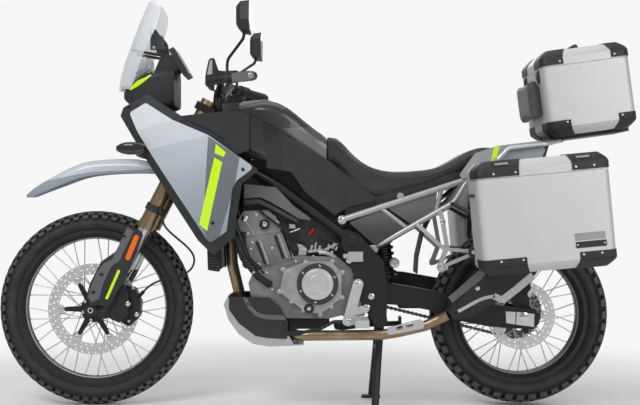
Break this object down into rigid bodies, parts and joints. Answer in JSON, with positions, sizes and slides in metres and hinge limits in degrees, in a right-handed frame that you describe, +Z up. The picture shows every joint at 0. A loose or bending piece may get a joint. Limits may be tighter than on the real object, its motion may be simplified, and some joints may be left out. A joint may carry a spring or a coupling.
{
  "type": "adventure motorcycle",
  "caption": "Adventure motorcycle with wire wheels, handguards, screen, aluminium side cases and top box, parked on its centre stand.",
  "frame": {"origin": "on the floor under the middle of the outer size", "axes": "+X to the rear along the length, +Y to the chain side along the axles, +Z up"},
  "size_m": [2.2293, 0.96, 1.434],
  "materials": {
    "tyre": "worn knobbly rubber",
    "rim_black": "black anodised rim, bright spokes and hub",
    "disc_steel": "ground disc steel",
    "fork_gold": "bronze anodised tube",
    "cast_grey": "fine cast aluminium",
    "black_metal": "satin black paint",
    "black_plastic": "grained black plastic",
    "grip_rubber": "matte rubber",
    "panel_grey": "light blue grey moulded panel",
    "tank_grey": "dark metallic grey paint",
    "seat_cover": "grained seat cover with seams",
    "silver_frame": "silver painted steel",
    "exhaust_bronze": "heat tinted steel",
    "silencer_dark": "dark satin can",
    "skid_silver": "brushed sheet",
    "chain_steel": "oiled chain",
    "case_alloy": "brushed sheet cases",
    "screen_clear": "clear smoked white screen",
    "lamp_clear": "clear lamp lens",
    "display_glass": "dark display glass",
    "lamp_plastic": "lamp lenses in dark housings",
    "tail_grey": "mid grey moulded panel",
    "coil_black": "coated spring"
  },
  "bodies": {
    "chassis": {"main_frame": "black_metal", "subframe": "silver_frame", "swingarm": "black_metal", "rear_axle": "disc_steel", "rear_shock": "coil_black", "drive_chain": "chain_steel", "rear_caliper": "black_metal", "crankcase": "cast_grey", "cylinders": "cast_grey", "engine_covers": "cast_grey", "airbox": "black_plastic", "radiator": "black_metal", "exhaust_pipe": "exhaust_bronze", "silencer": "silencer_dark", "skid_plate": "skid_silver", "skid_sides": "black_plastic", "side_covers": "black_plastic", "fuel_tank": "tank_grey", "tank_cap": "black_metal", "seat": "seat_cover", "side_panels": "panel_grey", "panel_surrounds": "black_plastic", "nose_cowl": "black_plastic", "headlamp": "lamp_clear", "windscreen": "screen_clear", "display": "display_glass", "tail_panels": "tail_grey", "rear_fender": "black_plastic", "lamps": "lamp_plastic", "luggage_rack": "silver_frame", "side_racks": "black_metal", "side_case_near": "case_alloy", "side_case_far": "case_alloy", "top_case": "case_alloy", "backrest_pad": "seat_cover", "foot_controls": "silver_frame"},
    "steering": {"fork_tubes": "fork_gold", "fork_legs": "cast_grey", "front_axle": "disc_steel", "yokes": "black_metal", "handlebar": "black_metal", "hand_controls": "grip_rubber", "handguards": "black_plastic", "mirrors": "black_plastic", "front_fender": "panel_grey", "fork_guards": "black_plastic", "front_caliper": "black_metal", "front_brake_hose": "grip_rubber"},
    "front_wheel": {"front_tyre": "tyre", "front_wire_wheel": "rim_black", "front_disc": "disc_steel"},
    "rear_wheel": {"rear_tyre": "tyre", "rear_wire_wheel": "rim_black", "rear_disc": "disc_steel", "rear_sprocket": "disc_steel"},
    "lid_near": {"side_lid_near": "case_alloy"},
    "lid_far": {"side_lid_far": "case_alloy"},
    "lid_top": {"top_lid": "case_alloy"},
    "centre_stand": {"centre_stand": "black_metal"},
    "side_stand": {"side_stand": "black_metal"}
  },
  "joints": [
    {"name": "steering_head", "type": "hinge", "parent": "chassis", "child": "steering", "pos_m": [-0.449, 0, 0.84], "axis": [0.454, 0, 0.891], "range_deg": [-35, 35]},
    {"name": "front_wheel_axle", "type": "hinge", "parent": "steering", "child": "front_wheel", "pos_m": [-0.77, 0, 0.345], "axis": [0, 1, 0], "continuous": true},
    {"name": "rear_wheel_axle", "type": "hinge", "parent": "chassis", "child": "rear_wheel", "pos_m": [0.735, 0, 0.323], "axis": [0, 1, 0], "continuous": true},
    {"name": "near_lid_hinge", "type": "hinge", "parent": "chassis", "child": "lid_near", "pos_m": [0.51841, -0.365, 0.79016], "axis": [0, -1, 0], "range_deg": [0, 100]},
    {"name": "far_lid_hinge", "type": "hinge", "parent": "chassis", "child": "lid_far", "pos_m": [0.51841, 0.365, 0.79016], "axis": [0, -1, 0], "range_deg": [0, 100]},
    {"name": "top_lid_hinge", "type": "hinge", "parent": "chassis", "child": "lid_top", "pos_m": [0.77934, 0, 1.17962], "axis": [0, -1, 0], "range_deg": [0, 95]},
    {"name": "centre_stand_pivot", "type": "hinge", "parent": "chassis", "child": "centre_stand", "pos_m": [0.24, 0, 0.302], "axis": [0, -1, 0], "range_deg": [0, 72]},
    {"name": "side_stand_pivot", "type": "hinge", "parent": "chassis", "child": "side_stand", "pos_m": [0.095, 0.18, 0.264], "axis": [0, 1, 0], "range_deg": [0, 105]}
  ]
}
